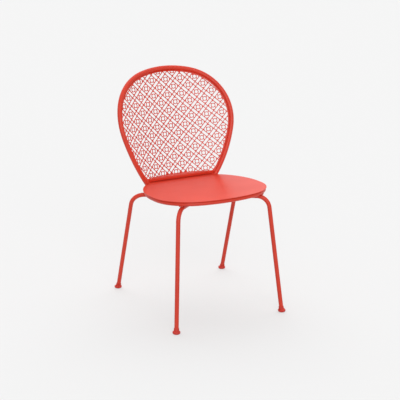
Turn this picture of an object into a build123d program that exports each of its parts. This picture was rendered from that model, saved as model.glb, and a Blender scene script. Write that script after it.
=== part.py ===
from build123d import *
from build123d.topology import SkipClean
from math import asin, atan, atan2, cos, degrees, hypot, radians, sin, sqrt, tan
import os

# A welded metal stacking chair: a round-cornered seat on four bent tube legs, with a
# hoop back that holds a curved sheet cut as a lattice. Millimetres, +Z up, front
# towards -Y. The sizes are laid out from the middle of the seat, and the whole chair
# is then moved so that the origin lies on the floor under the middle of its box.

# seat: the outline of the pan, rounder and deeper at the rear, from its widest line
seat_width = 450.0
front_depth = 197.0
front_corner_radius = 158.0
front_bow = 8.5            # swell of the front edge past its corner arcs
front_side_bow = 0.5       # swell of each flank past the front corner arc
rear_depth = 234.5
rear_corner_radius = 106.0
rear_bow = 35.0
rear_side_bow = 31.0
seat_height = 450.3        # rim centreline above the floor, at the seat's widest line
seat_tilt = 3.8            # degrees, rear edge lower
rim_diameter = 15.0
rim_wall = 1.5
rim_inset = 2.5            # outer edge of the rim inside the edge of the pan
rim_setback = 3.0          # more of that at the rear, where the hoop comes down beside the rim
pan_thickness = 2.0
pan_edge_round = 1.2

# legs: foot on the floor, knee where the leg's line meets the line of its run
leg_diameter = 16.0
leg_wall = 1.5
front_foot_x = 220.5
front_foot_y = -208.0
front_knee_x = 183.3
front_knee_y = -154.5
front_bend_radius = 46.5
rear_foot_x = 234.4
rear_foot_y = 294.0
rear_knee_x = 225.9
rear_knee_y = 152.0
rear_bend_radius = 55.0
run_end = 18.0             # inner end of each run, from where the four runs would meet

# feet
foot_diameter = 29.0
foot_base_diameter = 24.0
foot_belly_height = 4.8    # widest level above the floor
foot_shoulder_height = 9.5
foot_shoulder_diameter = 21.0
foot_neck = 20.0           # length along the leg
foot_floor = 6.5           # solid part under the end of the tube, along the leg
foot_wall = 1.2

# saddles between the rim and the runs, and the hub under the middle of the seat
saddle_rise = 1.5          # room between the rim and a run
saddle_length = 9.0
saddle_width = 11.0
saddle_wrap = 3.5          # how far a saddle reaches round each tube
hub_diameter = 84.0
hub_thickness = 3.0
pad_diameter = 56.0

# stacking buffers under the runs
buffer_radius = 95.0       # from where the four runs would meet
buffer_length = 24.0
buffer_width = 22.0
buffer_thickness = 3.0     # under the tube
buffer_wrap = 6.0          # up the sides of the tube

# back: part of a cone that leans to the rear, curled closely round the seat and flatter higher up
back_lean = 14.2           # degrees from upright, on the middle line
back_level = 480.0         # level of the next size, measured up the lean from the floor
back_radius = 285.0        # radius of the curl at that level
back_flare = 0.72          # growth of that radius for each millimetre further up
hoop_diameter = 18.0
hoop_wall = 1.5
hoop_top = 882.2           # crown of the hoop, measured up the lean from the floor
hoop_crown_radius = 371.0  # the hoop's arcs, as they lie when the back is laid out flat
hoop_crown_turn = 16.5     # degrees turned by the crown arc, on each side
hoop_shoulder_radius = 198.0
hoop_shoulder_turn = 88.1
hoop_flank_radius = 528.0
hoop_tail = 9.0            # tube end below the rim's centreline
hoop_probe = 0.5           # step used to find the hoop's heading
plug_flange = 1.5
plug_length = 12.0

# lattice sheet
sheet_thickness = 2.0
sheet_tail = 4.0           # sheet edge below the pan
sheet_margin = 4.0         # solid border inside the hoop
sheet_foot_margin = 9.0    # solid border above the pan
lattice_pitch = 42.6       # between rosettes, along each diagonal
lattice_level = 717.8      # one rosette on the middle line, measured up the lean
lattice_strip = 2.6
lattice_bar = 12.8         # between the middles of the two strips of a double bar
rosette_bore = 12.8
rosette_ring = 18.0
rosette_spoke = 3.4
bore_sides = 8
hoop_steps = 20            # points along each half of the sheet's outline
foot_steps = 4             # points along each half of the sheet's foot
seam_arcs = 6              # arcs along each seam between the bands that the sheet is made in
band_rows = 2              # rows of cells in each band
smallest_hole = 14.0       # square millimetres, smaller clipped holes stay solid

# fits
weld_gap = 0.25            # between tubes that are welded side by side
sheet_gap = 1.2            # between the sheet's edge and the hoop
slip = 0.2                 # plastic on or in a tube

rim_r = rim_diameter / 2
leg_r = leg_diameter / 2
hoop_r = hoop_diameter / 2
tilt = radians(seat_tilt)
lean = radians(back_lean)
rim_line = rim_inset + rim_r
pan_floor = rim_r + weld_gap
pan_top = pan_floor + pan_thickness
run_drop = rim_r + saddle_rise + leg_r

seat = Plane(origin=(0, 0, seat_height), x_dir=(1, 0, 0), z_dir=(0, sin(tilt), cos(tilt)))


def halved(near, far, holds):
    # last place between near and far where the condition holds
    for _ in range(50):
        middle = (near + far) / 2
        if holds(middle):
            near = middle
        else:
            far = middle
    return near


def rim_arcs(rear, inset, setback):
    # corner, end and flank arcs of one quarter of the outline, as centre and radius, with y outwards
    half_w = seat_width / 2
    depth = rear_depth - setback if rear else front_depth
    corner_r = rear_corner_radius if rear else front_corner_radius
    end_bow = rear_bow if rear else front_bow
    side_bow = rear_side_bow if rear else front_side_bow
    cx = half_w - corner_r - side_bow
    cy = depth - corner_r - end_bow
    end_r = (cx**2 + (corner_r + end_bow) ** 2 - corner_r**2) / (2 * end_bow)
    side_r = (cy**2 + (corner_r + side_bow) ** 2 - corner_r**2) / (2 * side_bow)
    corner = (cx, cy, corner_r - inset)
    return corner, (0, depth - end_r, end_r - inset), (half_w - side_r, 0, side_r - inset)


def rim_angles(rear, setback):
    # where the corner arc starts and ends
    (cx, cy, _), (_, end_y, _), (side_x, _, _) = rim_arcs(rear, 0, setback)
    return degrees(atan2(cy, cx - side_x)), degrees(atan2(cy - end_y, cx))


def rim_loop(inset, setback):
    # anticlockwise from the right front corner's end, round the rear and back
    (rear_x, rear_y, rear_r), (_, back_y, back_r), (flank_x, _, flank_r) = rim_arcs(True, inset, setback)
    (fore_x, fore_y, fore_r), (_, face_y, face_r), (side_x, _, side_r) = rim_arcs(False, inset, setback)
    low, high = rim_angles(True, setback)
    front_low, front_high = rim_angles(False, setback)
    return [
        CenterArc((side_x, 0), side_r, -front_low, front_low),
        CenterArc((flank_x, 0), flank_r, 0, low),
        CenterArc((rear_x, rear_y), rear_r, low, high - low),
        CenterArc((0, back_y), back_r, high, 180 - 2 * high),
        CenterArc((-rear_x, rear_y), rear_r, 180 - high, high - low),
        CenterArc((-flank_x, 0), flank_r, 180 - low, low),
        CenterArc((-side_x, 0), side_r, 180, front_low),
        CenterArc((-fore_x, -fore_y), fore_r, 180 + front_low, front_high - front_low),
        CenterArc((0, -face_y), face_r, 180 + front_high, 180 - 2 * front_high),
        CenterArc((fore_x, -fore_y), fore_r, 360 - front_high, front_high - front_low),
    ]


def edge_distance(x, y, inset, setback):
    # signed distance in the seat plane from the outline, outside positive
    corner, end, side = rim_arcs(y > 0, inset, setback)
    low, high = rim_angles(y > 0, setback)
    x, y = abs(x), abs(y)
    arc = corner
    if degrees(atan2(y - side[1], x - side[0])) < low:
        arc = side
    if degrees(atan2(y - end[1], x - end[0])) > high:
        arc = end
    return hypot(x - arc[0], y - arc[1]) - arc[2]


def rim_distance(x, y):
    return edge_distance(x, y, rim_line, rim_setback)


def rim_reach(angle):
    # distance from the seat's own origin to the rim's centreline
    return halved(0, seat_width, lambda r: rim_distance(r * cos(angle), r * sin(angle)) < 0)


def joined(*lines):
    return Wire([edge for line in lines for edge in line.edges()])


def tube(path, radius, wall):
    start = Plane(origin=path @ 0, z_dir=path % 0)
    ring = Sketch() + start * Circle(radius) - start * Circle(radius - wall)
    return sweep(ring, path=path)


def both_sides(shape):
    return shape, shape.mirror(Plane.YZ)


# the back's own frame: x across, y up the lean, z forwards
def hoop_heading(length, inset=0.0):
    # place and heading on the flat hoop line, by length from the crown, on the right half
    x, y, turned, left = 0.0, hoop_top - inset, 0.0, length
    arcs = (
        (hoop_crown_radius - inset, radians(hoop_crown_turn)),
        (hoop_shoulder_radius - inset, radians(hoop_shoulder_turn)),
        (hoop_flank_radius - inset, radians(180)),
    )
    for radius, turn in arcs:
        part = min(left, radius * turn)
        after = turned + part / radius
        x += radius * (sin(after) - sin(turned))
        y -= radius * (cos(turned) - cos(after))
        turned, left = after, left - part
    return x, y, turned


flare = atan(back_flare)
apex_level = back_level - back_radius / back_flare


def wrap(s, t):
    # a point of the flat pattern laid on the back's cone, in the back's frame
    reach = hypot(s, t - apex_level)
    turn = atan2(s, t - apex_level) / sin(flare)
    up = cos(flare) ** 2 + sin(flare) ** 2 * cos(turn)
    forward = sin(flare) * cos(flare) * (1 - cos(turn))
    return Vector(reach * sin(flare) * sin(turn), apex_level + reach * up, reach * forward)


def back_at(foot_y):
    return Plane(origin=(0, foot_y, 0), x_dir=(1, 0, 0), z_dir=(0, -cos(lean), sin(lean)))


def over_seat(frame, s, t):
    # a point of the back by its place in the seat plane, with z up from the rim's centreline
    return seat.to_local_coords(frame.from_local_coords(wrap(s, t)))


def hoop_length(frame, height, inset=0.0):
    # length from the crown down the flank to a height over the seat plane
    turn = radians(hoop_crown_turn + hoop_shoulder_turn)
    longest = hoop_crown_radius + hoop_shoulder_radius * turn + hoop_flank_radius
    return halved(0, longest, lambda part: over_seat(frame, *hoop_heading(part, inset)[:2]).Z > height)


def level_at(frame, s, height):
    # level up the lean, at s across, that has a height over the seat plane
    return halved(hoop_top, hoop_top / 3, lambda level: over_seat(frame, s, level).Z > height)


def back_clearance(foot_y):
    # least room between the rim and the hoop's ends, or between the pan's edge and the sheet's foot
    frame = back_at(foot_y)
    steps = 16
    room = []
    for step in range(steps + 1):
        height = -hoop_tail + (hoop_tail + 2 * pan_top) * step / steps
        s, t, _ = hoop_heading(hoop_length(frame, height))
        at = over_seat(frame, s, t)
        room.append(hypot(rim_distance(at.X, at.Y), height) - rim_r - hoop_r - weld_gap)
        s = s * step / steps
        at = over_seat(frame, s, level_at(frame, s, pan_floor))
        room.append(edge_distance(at.X, at.Y, 0, 0) - sheet_thickness / 2 - weld_gap)
    return min(room)


back_foot_y = halved(0, rear_depth, lambda foot_y: back_clearance(foot_y) < 0)
back = back_at(back_foot_y)
print(f"back_foot_y {back_foot_y:.2f}")

# move to the middle of the chair's box on the floor
rear_most = back.from_local_coords(wrap(0, hoop_top)).Y + hoop_r
front_most = front_foot_y - foot_diameter / 2
settle = Pos(0, -(rear_most + front_most) / 2, 0)

nodes = {}

# seat: a bent rim with a sheet pan on top of it
rim_path = seat * Wire(rim_loop(rim_line, rim_setback))
nodes["seat_rim"] = tube(rim_path, rim_r, rim_wall)

pan = extrude(seat.offset(pan_floor) * Face(Wire(rim_loop(0, 0))), pan_thickness, dir=seat.z_dir)
pan_face = pan.faces().sort_by(Axis(seat.origin, seat.z_dir))[-1]
nodes["seat_pan"] = fillet(pan_face.edges(), pan_edge_round)


# legs, each one tube: up from the foot, round the bend and in under the seat
def run_point(x, y):
    # the point of the run plane straight above or below (x, y)
    low = seat.offset(-run_drop).origin
    return Vector(x, y, low.Z - (y - low.Y) * tan(tilt))


hub_at = seat.offset(-run_drop).origin


def leg_set(end, foot_x, foot_y, knee_x, knee_y, bend):
    foot = Vector(foot_x, foot_y, 0)
    knee = run_point(knee_x, knee_y)
    up = (knee - foot).normalized()
    along = (hub_at - knee).normalized()
    path = FilletPolyline(foot + up * foot_floor, knee, hub_at - along * run_end, radius=bend)
    leg = tube(path, leg_r, leg_wall)

    belly = (foot_diameter / 2, 0, foot_belly_height)
    shoulder = (foot_shoulder_diameter / 2, 0, foot_shoulder_height)
    edge = (foot_base_diameter / 2, 0, 0)
    profile = joined(
        Line((0, 0, 0), edge),
        TangentArc(belly, edge, tangent=(0, 0, -1)),
        TangentArc(belly, shoulder, tangent=(0, 0, 1)),
        Polyline(shoulder, (0, 0, foot_shoulder_height), (0, 0, 0)),
    )
    base = Pos(foot) * revolve(Face(profile), Axis.Z)
    neck_low = Plane(origin=foot + up * foot_belly_height, z_dir=up)
    neck_high = Plane(origin=foot + up * foot_neck, z_dir=up)
    top_r = leg_r + slip + foot_wall
    neck = loft([neck_low * Circle(foot_shoulder_diameter / 2), neck_high * Circle(top_r)])
    socket_plane = Plane(origin=foot + up * foot_floor, z_dir=up)
    shoe = base + neck - extrude(socket_plane * Circle(leg_r + slip), foot_neck)

    # saddle where the run passes under the rim
    place = seat.to_local_coords(knee)
    angle = atan2(place.Y, place.X)
    reach = rim_reach(angle)
    across = Plane(origin=(reach * cos(angle), reach * sin(angle), 0), x_dir=(cos(angle), sin(angle), 0))
    saddle_low = -run_drop + leg_r - saddle_wrap
    saddle_height = saddle_rise + 2 * saddle_wrap
    upright = (Align.CENTER, Align.CENTER, Align.MIN)
    saddle = Pos(0, 0, saddle_low) * Box(saddle_length, saddle_width, saddle_height, align=upright)
    run_core = Cylinder(leg_r + weld_gap, 4 * saddle_length, rotation=(0, 90, 0))
    saddle = seat * across * (saddle - Pos(0, 0, -run_drop) * run_core) - rim_core

    # buffer clipped under the run
    spot = Plane(
        origin=(buffer_radius * cos(angle), buffer_radius * sin(angle), -run_drop),
        x_dir=(cos(angle), sin(angle), 0),
    )
    clip_low = -leg_r - slip - buffer_thickness
    clip_height = buffer_thickness + slip + buffer_wrap
    clip = Pos(0, 0, clip_low) * Box(buffer_length, buffer_width, clip_height, align=upright)
    clip = fillet(clip.edges().filter_by(Axis.X).sort_by(Axis.Z)[:2], buffer_thickness)
    clip = clip - Cylinder(leg_r + slip, 2 * buffer_length, rotation=(0, 90, 0))
    clip = seat * spot * clip

    for name, shape in (("leg", leg), ("foot", shoe), ("saddle", saddle), ("stacking_buffer", clip)):
        right, left = both_sides(shape)
        nodes[f"{end}_right_{name}"] = right
        nodes[f"{end}_left_{name}"] = left


# solid outside of the rim on the right half, from the front arc round to the rear arc
rim_half = rim_loop(rim_line, rim_setback)
rim_half = seat * Wire(rim_half[8:] + rim_half[:4])
rim_core = sweep(Plane(origin=rim_half @ 0, z_dir=rim_half % 0) * Circle(rim_r + weld_gap), path=rim_half)
leg_set("front", front_foot_x, front_foot_y, front_knee_x, front_knee_y, front_bend_radius)
leg_set("rear", rear_foot_x, rear_foot_y, rear_knee_x, rear_knee_y, rear_bend_radius)

# hub plate over the four run ends, and the pad that carries the middle of the pan
hub_low = -run_drop + leg_r
nodes["hub_plate"] = extrude(seat.offset(hub_low) * Circle(hub_diameter / 2), hub_thickness)
pad_low = hub_low + hub_thickness
nodes["seat_support_pad"] = extrude(seat.offset(pad_low) * Circle(pad_diameter / 2), pan_floor - pad_low)

# hoop: stations on the back's cone joined by pairs of tangent arcs
hoop_half = hoop_length(back, -hoop_tail)
crown = hoop_crown_radius * radians(hoop_crown_turn)
shoulder_end = crown + hoop_shoulder_radius * radians(hoop_shoulder_turn)
stations = [0.0, crown]
stations += [crown + (shoulder_end - crown) * step / 4 for step in (1, 2, 3, 4)]
stations += [(shoulder_end + hoop_half) / 2, hoop_half]


def hoop_point(length):
    s, t, _ = hoop_heading(abs(length))
    return wrap(s if length >= 0 else -s, t)


def hoop_station(length):
    heading = hoop_point(length + hoop_probe) - hoop_point(length - hoop_probe)
    return hoop_point(length), heading.normalized()


def tangent_pair(start, end):
    (p, u), (q, v) = start, end
    chord = q - p
    total = u + v
    bend = 2 * (1 - u.dot(v))
    reach = chord.dot(total)
    arm = (-reach + sqrt(reach**2 + bend * chord.dot(chord))) / bend
    middle = (p + u * arm + q - v * arm) / 2
    first = Edge.make_tangent_arc(p, u, middle)
    second = Edge.make_tangent_arc(middle, first % 1, q)
    return [first, second]


lengths = [-value for value in reversed(stations[1:])] + stations
marks = [hoop_station(value) for value in lengths]
hoop_edges = []
for start, end in zip(marks, marks[1:]):
    hoop_edges += tangent_pair(start, end)
hoop_path = back * Wire(hoop_edges)
nodes["back_hoop"] = tube(hoop_path, hoop_r, hoop_wall)

# notches in the pan's edge, where the hoop passes
notch_path = back * Wire([hoop_edges[-1]])
notch = sweep(Plane(origin=notch_path @ 0, z_dir=notch_path % 0) * Circle(hoop_r + weld_gap), path=notch_path)
for core in both_sides(notch):
    nodes["seat_pan"] -= core

# plugs in the hoop's two lower ends
end_plane = Plane(origin=hoop_path @ 1, z_dir=hoop_path % 1)
plug = extrude(end_plane * Circle(hoop_r), plug_flange)
plug += extrude(end_plane * Circle(hoop_r - hoop_wall - slip), -plug_length)
nodes["right_hoop_plug"], nodes["left_hoop_plug"] = both_sides(plug)


# lattice sheet: laid out flat, then cut through the curved sheet
def flat(s, t):
    # a point of the pattern as it is seen square to the middle of the back
    place = wrap(s, t)
    return Vector(place.X, place.Y, 0)


def hoop_room(s, t):
    # distance from a flat point out to the hoop's line
    x, y = 0.0, hoop_top - hoop_crown_radius
    radius, turn = hoop_crown_radius, radians(hoop_crown_turn)
    arcs = ((hoop_shoulder_radius, radians(hoop_shoulder_turn)), (hoop_flank_radius, radians(180)))
    for next_radius, next_turn in arcs:
        if atan2(abs(s) - x, t - y) % radians(360) <= turn:
            break
        x += (radius - next_radius) * sin(turn)
        y += (radius - next_radius) * cos(turn)
        radius, turn = next_radius, turn + next_turn
    return radius - hypot(abs(s) - x, t - y)


def outline_marks(inset, height):
    # points round the inside of the hoop, then along a foot that follows the seat
    half = hoop_length(back, height, inset)
    marks = []
    for step in range(-hoop_steps, hoop_steps + 1):
        s, t, _ = hoop_heading(abs(step) * half / hoop_steps, inset)
        marks.append((s if step >= 0 else -s, t))
    end = marks[-1][0]
    for step in range(foot_steps - 1, -foot_steps, -1):
        s = end * step / foot_steps
        marks.append((s, level_at(back, s, height)))
    return marks + marks[:1]


def outline_face(marks):
    # each pair of steps is one short arc
    points = [flat(s, t) for s, t in marks]
    return Face(joined(*[ThreePointArc(*points[i : i + 3]) for i in range(0, len(points) - 1, 2)]))


def ring_point(radius, angle):
    return radius * cos(angle), radius * sin(angle)


def block(a, b, width, height):
    w, h = width / 2, height / 2
    return [(a - w, b - h), (a + w, b - h), (a + w, b + h), (a - w, b + h)]


def bore(radius):
    return [ring_point(radius, radians(360 * i / bore_sides)) for i in range(bore_sides)]


def petal(quarter):
    # opening between the ring and the cell's corner, between two spokes
    inner, edge = rosette_ring / 2, rosette_spoke / 2
    low = asin(edge / inner)
    points = [ring_point(inner, low), ring_point(inner, radians(45)), ring_point(inner, radians(90) - low)]
    points += [(edge, cell_half), (cell_half, cell_half), (cell_half, edge)]
    spin = radians(90 * quarter)
    return [(a * cos(spin) - b * sin(spin), a * sin(spin) + b * cos(spin)) for a, b in points]


cell_half = (lattice_pitch - lattice_bar - lattice_strip) / 2
slot = lattice_bar - lattice_strip
half_pitch = lattice_pitch / 2
cell = [
    block(half_pitch, half_pitch, slot, slot),
    block(half_pitch, 0, slot, 2 * cell_half),
    block(0, half_pitch, 2 * cell_half, slot),
    bore(rosette_bore / 2),
] + [petal(quarter) for quarter in range(4)]

sheet_inset = hoop_r + sheet_gap
window_inset = sheet_inset + sheet_margin
window_height = pan_top + sheet_foot_margin
window = outline_face(outline_marks(window_inset, window_height))
sheet_marks = outline_marks(sheet_inset, pan_floor - sheet_tail)
sheet = outline_face(sheet_marks)


def lattice_point(a, b):
    # from distances along the two diagonals to a flat point
    return (a - b) * sqrt(0.5), lattice_level + (a + b) * sqrt(0.5)


def shared_faces(one, other):
    both = one & other
    return both.faces() if both else []


def cell_holes(i, j):
    wires = []
    for points in cell:
        moved = [lattice_point(a + i * lattice_pitch, b + j * lattice_pitch) for a, b in points]
        beside = [hoop_room(s, t) - window_inset for s, t in moved]
        if max(beside) < 0:
            continue
        above = [over_seat(back, s, t).Z - window_height for s, t in moved]
        room = [min(pair) for pair in zip(beside, above)]
        if max(room) < 0:
            continue
        wire = joined(Polyline(*[flat(s, t) for s, t in moved], close=True))
        if min(room) > 0:
            wires.append(wire)
            continue
        for face in shared_faces(Face(wire), window):
            if face.area > smallest_hole:
                wires.append(face.outer_wire())
    return wires


# room round the sheet in the flat pattern, and how far it reaches along the rows
widest = max(s for s, _ in sheet_marks) + lattice_pitch
lowest = min(t for _, t in sheet_marks) - lattice_pitch
highest = hoop_top + lattice_pitch
reaches = [(s + t - lattice_level) * sqrt(0.5) / lattice_pitch for s, t in sheet_marks]
first_row = int(min(reaches)) - 2
last_row = int(max(reaches)) + 1
columns = range(first_row, 1 - first_row)


def seam(i):
    # line along the middle of the last strip of row i, across the room round the sheet
    a = (i + 0.5) * lattice_pitch + lattice_bar / 2
    start = max(a - widest * sqrt(2), (lowest - lattice_level) * sqrt(2) - a)
    end = min(a + widest * sqrt(2), (highest - lattice_level) * sqrt(2) - a)
    step = (end - start) / (2 * seam_arcs)
    marks = [flat(*lattice_point(a, start + step * j)) for j in range(2 * seam_arcs + 1)]
    return [ThreePointArc(*marks[j : j + 3]) for j in range(0, 2 * seam_arcs, 2)]


# the sheet is made in diagonal bands that meet along strips, because one face with all the
# holes is slow to work with
half_sheet = sheet_thickness / 2
cone_axis = Axis((0, apex_level, 0), (0, cos(flare), sin(flare)))
ends = ((lowest, -half_sheet), (highest, -half_sheet), (highest, half_sheet), (lowest, half_sheet))
slab = Face(joined(Polyline(*[(0, y, z) for y, z in ends], close=True))).rotate(cone_axis, -90)
shell = revolve(slab, cone_axis, revolution_arc=180)
bands = []
for first in range(first_row, last_row, band_rows):
    low, high = seam(first), seam(first + band_rows)
    strip = joined(*low, *high, Line(low[0] @ 0, high[0] @ 0), Line(low[-1] @ 1, high[-1] @ 1))
    pieces = shared_faces(sheet, Face(strip))
    holes = []
    for i in range(first + 1, first + band_rows + 1):
        for j in columns:
            holes += cell_holes(i, j)
    for piece in pieces:
        inside = [wire for wire in holes if piece.is_inside(wire.center())]
        cut_sheet = Pos(0, 0, -sheet_thickness) * Face(piece.outer_wire(), inside)
        with SkipClean():
            bands.append(extrude(cut_sheet, back_radius / 2, dir=(0, 0, 1)) & shell)
with SkipClean():
    panel = bands[0].fuse(*bands[1:], glue=True)
nodes["back_panel"] = back * panel

os.makedirs("parts", exist_ok=True)
for name, shape in nodes.items():
    export_step(settle * shape, f"parts/{name}.step", write_pcurves=False)
    print(f"{name}: {len(shape.solids())} solid, {shape.volume / 1000:.1f} cm3")
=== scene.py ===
import math

import bmesh
import bpy
from mathutils import Matrix, Vector


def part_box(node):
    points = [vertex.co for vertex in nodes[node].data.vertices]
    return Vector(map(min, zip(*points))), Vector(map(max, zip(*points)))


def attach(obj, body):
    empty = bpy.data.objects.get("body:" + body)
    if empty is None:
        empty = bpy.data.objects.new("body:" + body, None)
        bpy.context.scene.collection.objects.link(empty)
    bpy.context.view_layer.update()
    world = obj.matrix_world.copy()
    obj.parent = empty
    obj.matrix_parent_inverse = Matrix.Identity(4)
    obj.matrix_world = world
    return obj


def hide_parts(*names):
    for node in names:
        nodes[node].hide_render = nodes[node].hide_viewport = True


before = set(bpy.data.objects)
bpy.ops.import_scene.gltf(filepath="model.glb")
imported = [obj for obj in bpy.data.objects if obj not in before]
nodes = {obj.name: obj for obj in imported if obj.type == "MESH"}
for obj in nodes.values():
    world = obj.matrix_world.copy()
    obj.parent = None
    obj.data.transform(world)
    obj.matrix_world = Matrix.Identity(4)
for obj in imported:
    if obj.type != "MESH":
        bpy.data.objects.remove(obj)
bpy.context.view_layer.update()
scene = bpy.context.scene
print("frame loaded:", len(nodes), "nodes")


def linear(hexColor):
    channels = [int(hexColor[i:i + 2], 16) / 255 for i in (1, 3, 5)]
    lin = [c / 12.92 if c <= 0.04045 else ((c + 0.055) / 1.055) ** 2.4 for c in channels]
    return (*lin, 1.0)


def addNode(tree, kind, links=(), **settings):
    node = tree.nodes.new(kind)
    for name, value in settings.items():
        if name in node.inputs:
            node.inputs[name].default_value = value
        else:
            setattr(node, name, value)
    for socket, source in links:
        tree.links.new(source, node.inputs[socket])
    return node


def newTree(owner):
    owner.use_nodes = True
    owner.node_tree.nodes.clear()
    return owner.node_tree


# finishes: two close tints in soft clouds, a gloss that wanders a little, and a fine grain as bump
pattern = {"cloudDetail": 4.0, "grainDetail": 2.0, "tintStops": (0.3, 0.7), "ior": 1.5}

# polyester powder coat baked on steel: satin and even, with the faint orange peel of the melted powder
powderCoat = {
    "colors": ("#D63D27", "#CD3723"),
    "cloudMm": 130.0,
    "grainMm": 2.6,      # real peel is about 1.5 mm, drawn coarser so that it shows
    "grainDepthMm": 0.02,
    "roughness": (0.33, 0.41),
    "specular": 0.36,
}

# moulded nylon, coloured through: duller than the paint, with the fine grain of an eroded mould
mouldedNylon = {
    "colors": ("#CC3323", "#C02D1F"),
    "cloudMm": 18.0,
    "grainMm": 1.1,      # real grain is about 0.2 mm
    "grainDepthMm": 0.03,
    "roughness": (0.48, 0.6),
    "specular": 0.5,
}

# black polypropylene clips: dark grey, rubbed a little lighter in patches
bufferPlastic = {
    "colors": ("#222224", "#2E2E31"),
    "cloudMm": 9.0,
    "grainMm": 0.9,
    "grainDepthMm": 0.03,
    "roughness": (0.42, 0.62),
    "specular": 0.5,
}

# cut rubber sheet: dull black with a dusty bloom
padRubber = {
    "colors": ("#1B1B1B", "#2A2928"),
    "cloudMm": 14.0,
    "grainMm": 0.7,
    "grainDepthMm": 0.05,
    "roughness": (0.75, 0.92),
    "specular": 0.5,
}


def makeFinish(name, look):
    material = bpy.data.materials.new(name)
    tree = newTree(material)
    place = addNode(tree, "ShaderNodeTexCoord").outputs["Object"]
    cloud, grain = (
        addNode(tree, "ShaderNodeTexNoise", [("Vector", place)],
                Scale=1000 / look[kind + "Mm"], Detail=pattern[kind + "Detail"])
        for kind in ("cloud", "grain")
    )
    tint = addNode(tree, "ShaderNodeValToRGB", [("Fac", cloud.outputs["Fac"])])
    for stop, (spot, color) in zip(tint.color_ramp.elements, zip(pattern["tintStops"], look["colors"])):
        stop.position = spot
        stop.color = linear(color)
    gloss = addNode(tree, "ShaderNodeMapRange", [("Value", cloud.outputs["Fac"])])
    gloss.inputs["To Min"].default_value, gloss.inputs["To Max"].default_value = look["roughness"]
    bump = addNode(tree, "ShaderNodeBump", [("Height", grain.outputs["Fac"])], Strength=1.0,
                   Distance=look["grainDepthMm"] / 1000)
    shader = addNode(tree, "ShaderNodeBsdfPrincipled", [
        ("Base Color", tint.outputs["Color"]),
        ("Roughness", gloss.outputs["Result"]),
        ("Normal", bump.outputs["Normal"]),
    ], **{"IOR": pattern["ior"], "Specular IOR Level": look["specular"]})
    addNode(tree, "ShaderNodeOutputMaterial", [("Surface", shader.outputs["BSDF"])])
    return material


coralPaint = makeFinish("coralPowderCoat", powderCoat)
coralNylon = makeFinish("coralMouldedNylon", mouldedNylon)
finishes = {
    "_foot": coralNylon,
    "_hoop_plug": coralNylon,
    "_stacking_buffer": makeFinish("blackPolypropylene", bufferPlastic),
    "_support_pad": makeFinish("blackRubberSheet", padRubber),
}
for name, node in nodes.items():
    finish = next((finishes[ending] for ending in finishes if name.endswith(ending)), coralPaint)
    for slot in node.material_slots:
        slot.material = finish
print("finishes made")

# lattice sheet, cut flat and then curled: millimetres, s across the sheet and t up the lean from the floor
lattice = {
    "lean": 14.2, "tube": 18.0,
    # the back's cone: a radius, its level and its growth upwards
    "curl": 285.0, "curlLevel": 480.0, "flare": 0.72,
    # the hoop's line: its crown, then each arc's radius and degrees turned from there down
    "top": 882.2,
    "arcs": ((371.0, 16.5), (198.0, 88.1), (528.0, 75.4)),
    # the rim's plane: y and z of its middle, degrees
    "seat": (-63.37, 450.3), "seatTilt": 3.8,
    # heights over that plane, and a place on the sheet's line that is well below them
    "foot": 3.75, "windowFoot": 23.0, "lowest": 294.0,
    "bite": 0.4,      # the edge's way into the hoop's tube, where it is welded
    "border": 4.8,    # solid edge that shows inside the tube
    "pitch": 42.6, "level": 717.8, "strip": 2.75, "bar": 12.8,
    "bore": 12.8, "ring": 18.0, "spoke": 3.4, "petal": 31.2,
    "boreSteps": 20, "arcSteps": 6, "edgeSteps": 120, "footSteps": 30,
    "smallestHole": 14.0,
    "thickness": 2.0, "edgeRound": 0.25,
}
lattice["crownY"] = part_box("back_hoop")[1].y * 1000 - lattice["tube"] / 2


def wrap(look, s, t, z=0.0):
    # a point of the flat sheet, z in front of it, laid on the cone and leaned on the hoop
    half = math.atan(look["flare"])
    apex = look["curlLevel"] - look["curl"] / look["flare"]
    reach = math.hypot(s, t - apex)
    turn = math.atan2(s, t - apex) / math.sin(half)
    axis = Vector((0, math.cos(half), math.sin(half)))
    outward = Vector((math.sin(turn), math.cos(turn) * math.sin(half), -math.cos(turn) * math.cos(half)))
    along = axis * math.cos(half) + outward * math.sin(half)
    ahead = axis * math.sin(half) - outward * math.cos(half)
    x, up, front = Vector((0, apex, 0)) + along * reach + ahead * z
    lean = math.radians(look["lean"])
    y = look["crownY"] - (look["top"] - up) * math.sin(lean) - front * math.cos(lean)
    return Vector((x, y, up * math.cos(lean) + front * math.sin(lean)))


def seatUp(look):
    tilt = math.radians(look["seatTilt"])
    return Vector((0, math.sin(tilt), math.cos(tilt)))


def overSeat(look, s, t, z=0.0):
    return (wrap(look, s, t, z) - Vector((0, *look["seat"]))).dot(seatUp(look))


def halved(near, far, holds):
    # last place between near and far where the condition holds
    for _ in range(40):
        middle = (near + far) / 2
        if holds(middle):
            near = middle
        else:
            far = middle
    return near


def hoopArcs(look):
    # centre, radius and last angle of each arc, angles from straight up
    x, y, turned, last = 0.0, look["top"], 0.0, 0.0
    arcs = []
    for radius, turn in look["arcs"]:
        x += (last - radius) * math.sin(turned)
        y += (last - radius) * math.cos(turned)
        turned += math.radians(turn)
        arcs.append((x, y, radius, turned))
        last = radius
    return arcs


def hoopRoom(look, s, t):
    # how far a flat point lies inside the hoop's line
    for x, y, radius, end in hoopArcs(look):
        if math.atan2(abs(s) - x, t - y) % math.tau <= end:
            break
    return radius - math.hypot(abs(s) - x, t - y)


def edgePoint(look, inset, angle):
    x, y, radius, _ = next(arc for arc in hoopArcs(look) if abs(angle) <= arc[3])
    side = -1 if angle < 0 else 1
    return side * (x + (radius - inset) * math.sin(abs(angle))), y + (radius - inset) * math.cos(angle)


def hoopAngle(look, inset, height):
    # the angle at which a line inside the hoop's comes down to a height over the rim's plane
    last = hoopArcs(look)[-1][3]
    return halved(0, last, lambda angle: overSeat(look, *edgePoint(look, inset, angle)) > height)


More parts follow.
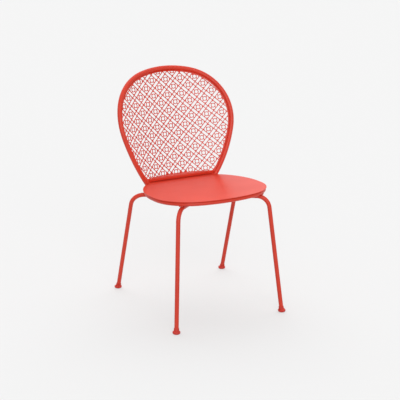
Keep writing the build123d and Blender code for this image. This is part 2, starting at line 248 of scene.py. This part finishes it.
def sheetLevel(look, s, height, z=0.0):
    # the t at which the sheet, or what lies z in front of it, comes down to that height
    return halved(look["top"], look["lowest"], lambda t: overSeat(look, s, t, z) > height)


def sheetEdge(look, inset, foot):
    # round inside the hoop, then back along a foot that follows the seat
    limit = hoopAngle(look, inset, foot)
    steps = look["edgeSteps"]
    loop = [edgePoint(look, inset, limit * step / steps) for step in range(-steps, steps + 1)]
    end, steps = loop[-1][0], look["footSteps"]
    for step in range(steps - 1, -steps, -1):
        s = end * step / steps
        loop.append((s, sheetLevel(look, s, foot)))
    return loop


def arcPoints(radius, start, end, steps):
    angles = [start + (end - start) * step / steps for step in range(steps + 1)]
    return [(radius * math.cos(a), radius * math.sin(a)) for a in angles]


def cellLoops(look):
    # the holes of one cell: crossing, two slots, bore and four petals
    half = look["pitch"] / 2
    slot = (look["bar"] - look["strip"]) / 2
    room = (look["pitch"] - look["bar"] - look["strip"]) / 2
    loops = []
    for a, b, w, h in ((half, half, slot, slot), (half, 0, slot, room), (0, half, room, slot)):
        loops.append([(a - w, b - h), (a + w, b - h), (a + w, b + h), (a - w, b + h)])
    loops.append(arcPoints(look["bore"] / 2, 0, math.tau, look["boreSteps"])[:-1])
    spoke, ring, reach = look["spoke"] / 2, look["ring"] / 2, look["petal"] / 2
    low = math.asin(spoke / ring)
    turn = math.acos(room / reach)
    petal = arcPoints(ring, low, math.pi / 2 - low, look["arcSteps"]) + [(spoke, room)]
    petal += arcPoints(reach, math.pi / 2 - turn, turn, look["arcSteps"]) + [(room, spoke)]
    for quarter in range(4):
        spin = Matrix.Rotation(quarter * math.pi / 2, 2)
        loops.append([tuple(spin @ Vector(point)) for point in petal])
    return loops


def clipLoop(look, loop, inset):
    # the part of a hole that lies in the window, closed along the window's edge
    room = [hoopRoom(look, s, t) - inset for s, t in loop]
    if max(room) < 0:
        return []
    room = [min(side, overSeat(look, s, t) - look["windowFoot"]) for side, (s, t) in zip(room, loop)]
    kept = []
    for i, (s, t) in enumerate(loop):
        before = loop[i - 1]
        if room[i] * room[i - 1] < 0:
            share = room[i - 1] / (room[i - 1] - room[i])
            kept.append((before[0] + (s - before[0]) * share, before[1] + (t - before[1]) * share))
        if room[i] > 0:
            kept.append((s, t))
    area = sum(kept[i - 1][0] * kept[i][1] - kept[i][0] * kept[i - 1][1] for i in range(len(kept))) / 2
    return kept if abs(area) > look["smallestHole"] else []


def latticeHoles(look):
    inset = look["tube"] / 2 + look["border"]
    rows = int(look["top"] / look["pitch"] / 2)
    pitch, diagonal = look["pitch"], math.sqrt(0.5)
    holes = []
    for i in range(-rows, rows + 1):
        for j in range(-rows, rows + 1):
            for loop in cellLoops(look):
                moved = [(a + i * pitch, b + j * pitch) for a, b in loop]
                turned = [((a - b) * diagonal, look["level"] + (a + b) * diagonal) for a, b in moved]
                holes.append(clipLoop(look, turned, inset))
    return [hole for hole in holes if hole]


crispAngle = 35.0   # degrees between faces that keep a crisp edge


def addPiece(name, bm, material):
    mesh = bpy.data.meshes.new(name)
    bm.to_mesh(mesh)
    bm.free()
    mesh.materials.append(material)
    mesh.shade_smooth()
    mesh.set_sharp_from_angle(angle=math.radians(crispAngle))
    piece = bpy.data.objects.new(name, mesh)
    scene.collection.objects.link(piece)
    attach(piece, "root")
    return piece


def makeLattice(look):
    edge = look["edgeRound"] / 1000
    curve = bpy.data.curves.new("flatLattice", "CURVE")
    curve.dimensions = "2D"
    curve.fill_mode = "BOTH"
    curve.extrude = look["thickness"] / 2000 - edge
    curve.bevel_depth = edge
    curve.bevel_resolution = 0
    curve.offset = -edge
    for loop in [sheetEdge(look, look["tube"] / 2 - look["bite"], look["foot"])] + latticeHoles(look):
        spline = curve.splines.new("POLY")
        spline.points.add(len(loop) - 1)
        for point, (s, t) in zip(spline.points, loop):
            point.co = (s / 1000, t / 1000, 0, 1)
        spline.use_cyclic_u = True
    flat = bpy.data.objects.new("flatLattice", curve)
    bm = bmesh.new()
    bm.from_mesh(bpy.data.meshes.new_from_object(flat))
    bpy.data.objects.remove(flat)
    bmesh.ops.remove_doubles(bm, verts=bm.verts, dist=1e-6)
    for vert in bm.verts:
        vert.co = wrap(look, *(vert.co * 1000)) / 1000
    bmesh.ops.recalc_face_normals(bm, faces=bm.faces)
    return addPiece("latticeSheet", bm, coralPaint)


latticeSheet = makeLattice(lattice)
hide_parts("back_panel")
print("lattice sheet cut:", len(latticeSheet.data.polygons), "faces")

# welds under the paint: a seam at the sheet's foot, beads where hoop and rim meet, tacks behind the sheet
welds = {
    "hoopHeight": -1.0,                         # over the rim's plane
    "hoopBead": (5.0, 7.0, 5.5),                # half sizes: towards the rim, along it, upright
    "tackAngles": (15, 40, 65, 90, 110, 125),   # round the hoop's line from the crown, on both sides
    "tackBead": (2.4, 5.5, 1.5),                # half sizes: across the joint, along it, out of the sheet
    "tackProbe": 0.01,                          # radians to each side, to find the hoop's heading
    "segments": 20,
    "panTop": 9.75,                             # over the rim's plane
    "seam": 7.0,                                # reach of the hollow seam between pan and sheet
    "seamSink": 0.2,                            # its edges' way under the surfaces
    "seamEnd": 4.0,                             # from the hoop's line to its ends
    "seamSteps": 40,
    "seamArc": 6,
}


def addBead(bm, look, place, axes, halves):
    turn = Matrix(axes).transposed().to_4x4()
    size = Matrix.Diagonal((*halves, 1))
    inMetres = Matrix.Scale(0.001, 4) @ Matrix.Translation(place) @ turn @ size
    bmesh.ops.create_uvsphere(
        bm, u_segments=look["segments"], v_segments=look["segments"] // 2, radius=1.0, matrix=inMetres
    )


def addSeam(bm, look, sheet):
    # a hollow fillet along the sheet's foot, from hoop to hoop
    up, front, reach = seatUp(sheet), sheet["thickness"] / 2, look["seam"]
    end, _ = edgePoint(sheet, look["seamEnd"], hoopAngle(sheet, look["seamEnd"], look["panTop"]))
    angles = [math.pi / 2 * part / look["seamArc"] for part in range(look["seamArc"] + 1)]
    rings = []
    for step in range(-look["seamSteps"], look["seamSteps"] + 1):
        s = end * step / look["seamSteps"]
        t = sheetLevel(sheet, s, look["panTop"], front)
        corner = wrap(sheet, s, t, front)
        climb = (wrap(sheet, s, t + 1.0, front) - corner).normalized()
        ahead = wrap(sheet, s, t, front + 1.0) - corner
        ahead = (ahead - up * ahead.dot(up)).normalized()
        corner -= (up + ahead) * look["seamSink"]
        ring = [
            corner + ahead * reach * (1 - math.sin(a)) + climb * reach * (1 - math.cos(a)) for a in angles
        ]
        ring.append(corner - (up + ahead) * front)
        rings.append([bm.verts.new(point / 1000) for point in ring])
    for one, other in zip(rings, rings[1:]):
        for i in range(len(one)):
            bm.faces.new((one[i - 1], one[i], other[i], other[i - 1]))
    bm.faces.new(rings[0])
    bm.faces.new(rings[-1])


def makeWelds(look, sheet):
    bm = bmesh.new()
    addSeam(bm, look, sheet)
    tube = sheet["tube"] / 2
    end = hoopAngle(sheet, 0, look["hoopHeight"])
    probe = look["tackProbe"]
    for side in (1, -1):
        middle = wrap(sheet, *edgePoint(sheet, 0, side * end))
        up = Vector((0, 0, 1))
        toRim = Vector((-middle.x, sheet["seat"][0] - middle.y, 0)).normalized()
        addBead(bm, look, middle + toRim * tube, (toRim, up.cross(toRim), up), look["hoopBead"])
        for angle in look["tackAngles"]:
            angle = side * math.radians(angle)
            s, t = edgePoint(sheet, tube, angle)
            after, before = (wrap(sheet, *edgePoint(sheet, tube, angle + turn)) for turn in (probe, -probe))
            along = (after - before).normalized()
            behind = wrap(sheet, s, t, -1.0) - wrap(sheet, s, t)
            place = wrap(sheet, s, t, -sheet["thickness"] / 2)
            addBead(bm, look, place, (along.cross(behind), along, behind), look["tackBead"])
    bmesh.ops.recalc_face_normals(bm, faces=bm.faces)
    return addPiece("weldBeads", bm, coralPaint)


makeWelds(welds, lattice)
print("welds laid")

# camera at the photograph's place: the frame is square
view = {
    "azimuth": -27.19, "elevation": 17.29, "distance": 3.893, "target": (-0.01866, -0.06337, 0.4152),
    "lens": 94.16, "sensor": 36, "farthest": 100,
}


def placeCamera(look):
    a, e = math.radians(look["azimuth"]), math.radians(look["elevation"])
    away = Vector((math.sin(a) * math.cos(e), -math.cos(a) * math.cos(e), math.sin(e)))
    data = bpy.data.cameras.new("photoCamera")
    data.lens = look["lens"]
    data.sensor_width = look["sensor"]
    data.clip_end = look["farthest"]
    camera = bpy.data.objects.new("photoCamera", data)
    scene.collection.objects.link(camera)
    camera.location = Vector(look["target"]) + away * look["distance"]
    camera.rotation_euler = (-away).to_track_quat("-Z", "Y").to_euler()
    scene.camera = camera


placeCamera(view)

# pale floor in a white room, soft key from the left front, softer light from behind on the right
studio = {
    "floor": "#D4D4D4",
    "floorBounce": "#BABABA",   # what the floor throws back at the chair
    "floorGlow": 0.55,          # share of the floor's look that no shadow reaches
    "floorRadius": 30,
    "floorSegments": 96,
    "white": 0.92,
    "room": 0.5,
    # energy, degrees across, where it shines from, and whether the chair mirrors it
    "suns": (
        ("softKey", 1.3, 50.0, (-0.30, -0.84, 0.45), True),
        ("backLight", 3.0, 85.0, (0.43, 0.82, 1.0), False),
    ),
}


def seenDirectly(tree):
    # 1 for what the camera, a reflection or glass shows, 0 for light that falls on things
    path = addNode(tree, "ShaderNodeLightPath")
    seen = addNode(tree, "ShaderNodeMath", operation="MAXIMUM")
    tree.links.new(path.outputs["Is Camera Ray"], seen.inputs[0])
    tree.links.new(path.outputs["Is Glossy Ray"], seen.inputs[1])
    every = addNode(tree, "ShaderNodeMath", operation="MAXIMUM")
    tree.links.new(seen.outputs[0], every.inputs[0])
    tree.links.new(path.outputs["Is Transmission Ray"], every.inputs[1])
    return every.outputs[0]


def makeFloor(look):
    material = bpy.data.materials.new("paleFloor")
    tree = newTree(material)
    seen = seenDirectly(tree)
    color = addNode(tree, "ShaderNodeMix", [(0, seen)], data_type="RGBA")
    # sockets 6 and 7 are the two colours
    color.inputs[6].default_value = linear(look["floorBounce"])
    color.inputs[7].default_value = linear(look["floor"])
    matte = addNode(tree, "ShaderNodeBsdfDiffuse", [("Color", color.outputs[2])])
    glow = addNode(tree, "ShaderNodeEmission", Strength=look["white"])
    share = addNode(tree, "ShaderNodeMath", [(0, seen)], operation="MULTIPLY")
    share.inputs[1].default_value = look["floorGlow"]
    both = addNode(tree, "ShaderNodeMixShader", [
        (0, share.outputs[0]), (1, matte.outputs[0]), (2, glow.outputs[0]),
    ])
    addNode(tree, "ShaderNodeOutputMaterial", [("Surface", both.outputs[0])])
    bm = bmesh.new()
    bmesh.ops.create_circle(bm, cap_ends=True, segments=look["floorSegments"], radius=look["floorRadius"])
    mesh = bpy.data.meshes.new("floor")
    bm.to_mesh(mesh)
    bm.free()
    mesh.materials.append(material)
    floor = bpy.data.objects.new("floor", mesh)
    scene.collection.objects.link(floor)


def makeRoom(look):
    scene.world = bpy.data.worlds.new("whiteRoom")
    tree = newTree(scene.world)
    strength = addNode(tree, "ShaderNodeMapRange", [("Value", seenDirectly(tree))])
    strength.inputs["To Min"].default_value = look["room"]
    strength.inputs["To Max"].default_value = look["white"]
    light = addNode(
        tree, "ShaderNodeBackground", [("Strength", strength.outputs["Result"])], Color=(1, 1, 1, 1)
    )
    addNode(tree, "ShaderNodeOutputWorld", [("Surface", light.outputs["Background"])])
    for name, energy, angle, source, mirrored in look["suns"]:
        data = bpy.data.lights.new(name, "SUN")
        data.energy = energy
        data.angle = math.radians(angle)
        lamp = bpy.data.objects.new(name, data)
        lamp.rotation_euler = (-Vector(source)).to_track_quat("-Z", "Y").to_euler()
        lamp.visible_glossy = mirrored
        scene.collection.objects.link(lamp)


makeFloor(studio)
makeRoom(studio)
scene.view_settings.view_transform = "Standard"
print("studio ready")
